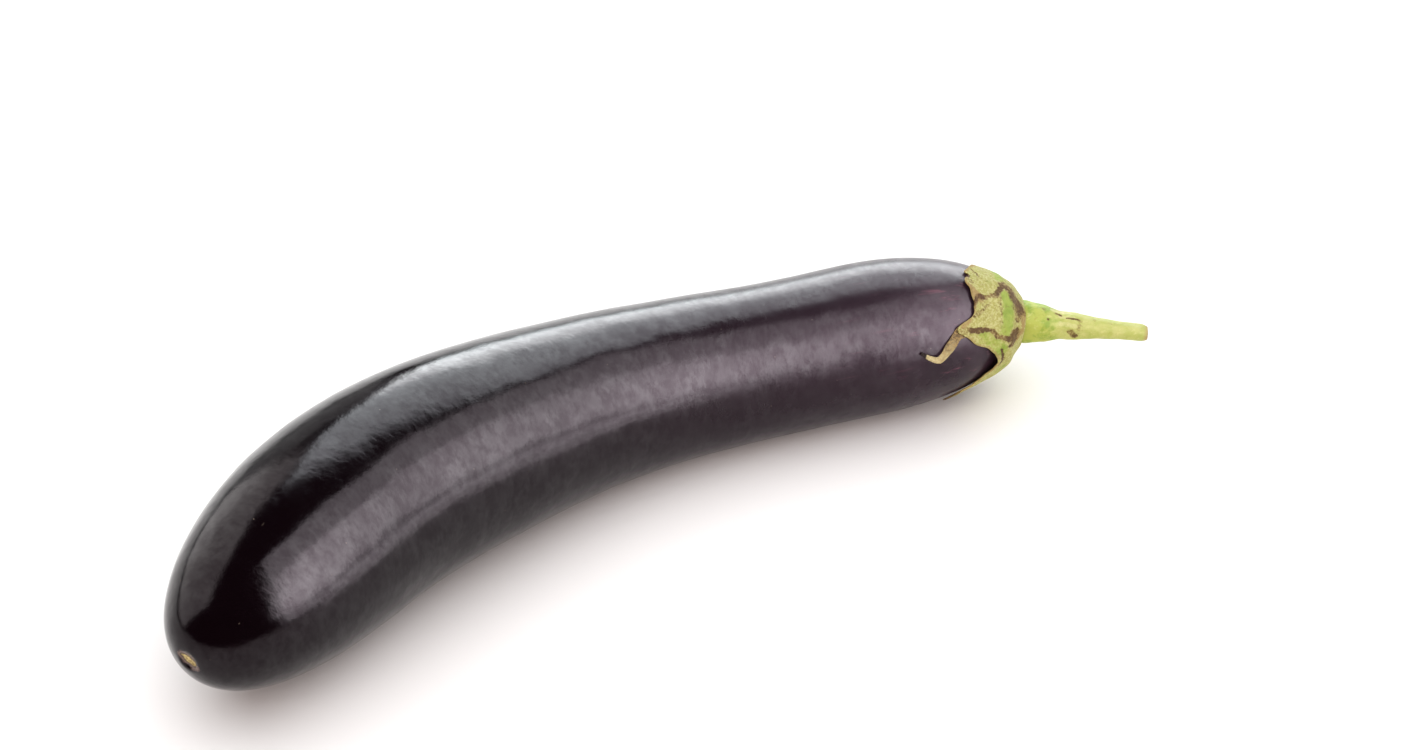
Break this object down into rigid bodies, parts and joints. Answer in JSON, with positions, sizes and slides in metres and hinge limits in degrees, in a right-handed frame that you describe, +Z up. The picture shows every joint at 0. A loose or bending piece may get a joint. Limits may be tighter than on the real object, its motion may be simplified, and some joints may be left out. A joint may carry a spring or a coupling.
{
  "type": "long purple eggplant",
  "caption": "Long, curved purple eggplant with a leafy green calyx and a cut stem, lying on its side; thicker towards the blossom end.",
  "frame": {"origin": "on the surface that the eggplant lies on, under the middle of its box", "axes": "+X runs along its longest side, from the blossom end to the stem's cut end; +Z is up, away from the surface; +Y is towards the outside of its bend"},
  "size_m": [0.2824, 0.0746, 0.0539],
  "materials": {
    "skin": "glossy black-purple skin with fine wrinkles across it",
    "calyx": "matt, leathery yellow-green with dry tan and brown edges",
    "stem": "matt, ribbed pale green with brown flecks and a dry cut end"
  },
  "bodies": {
    "root": {"fruit": "skin", "calyx": "calyx", "stem": "stem"}
  },
  "joints": []
}
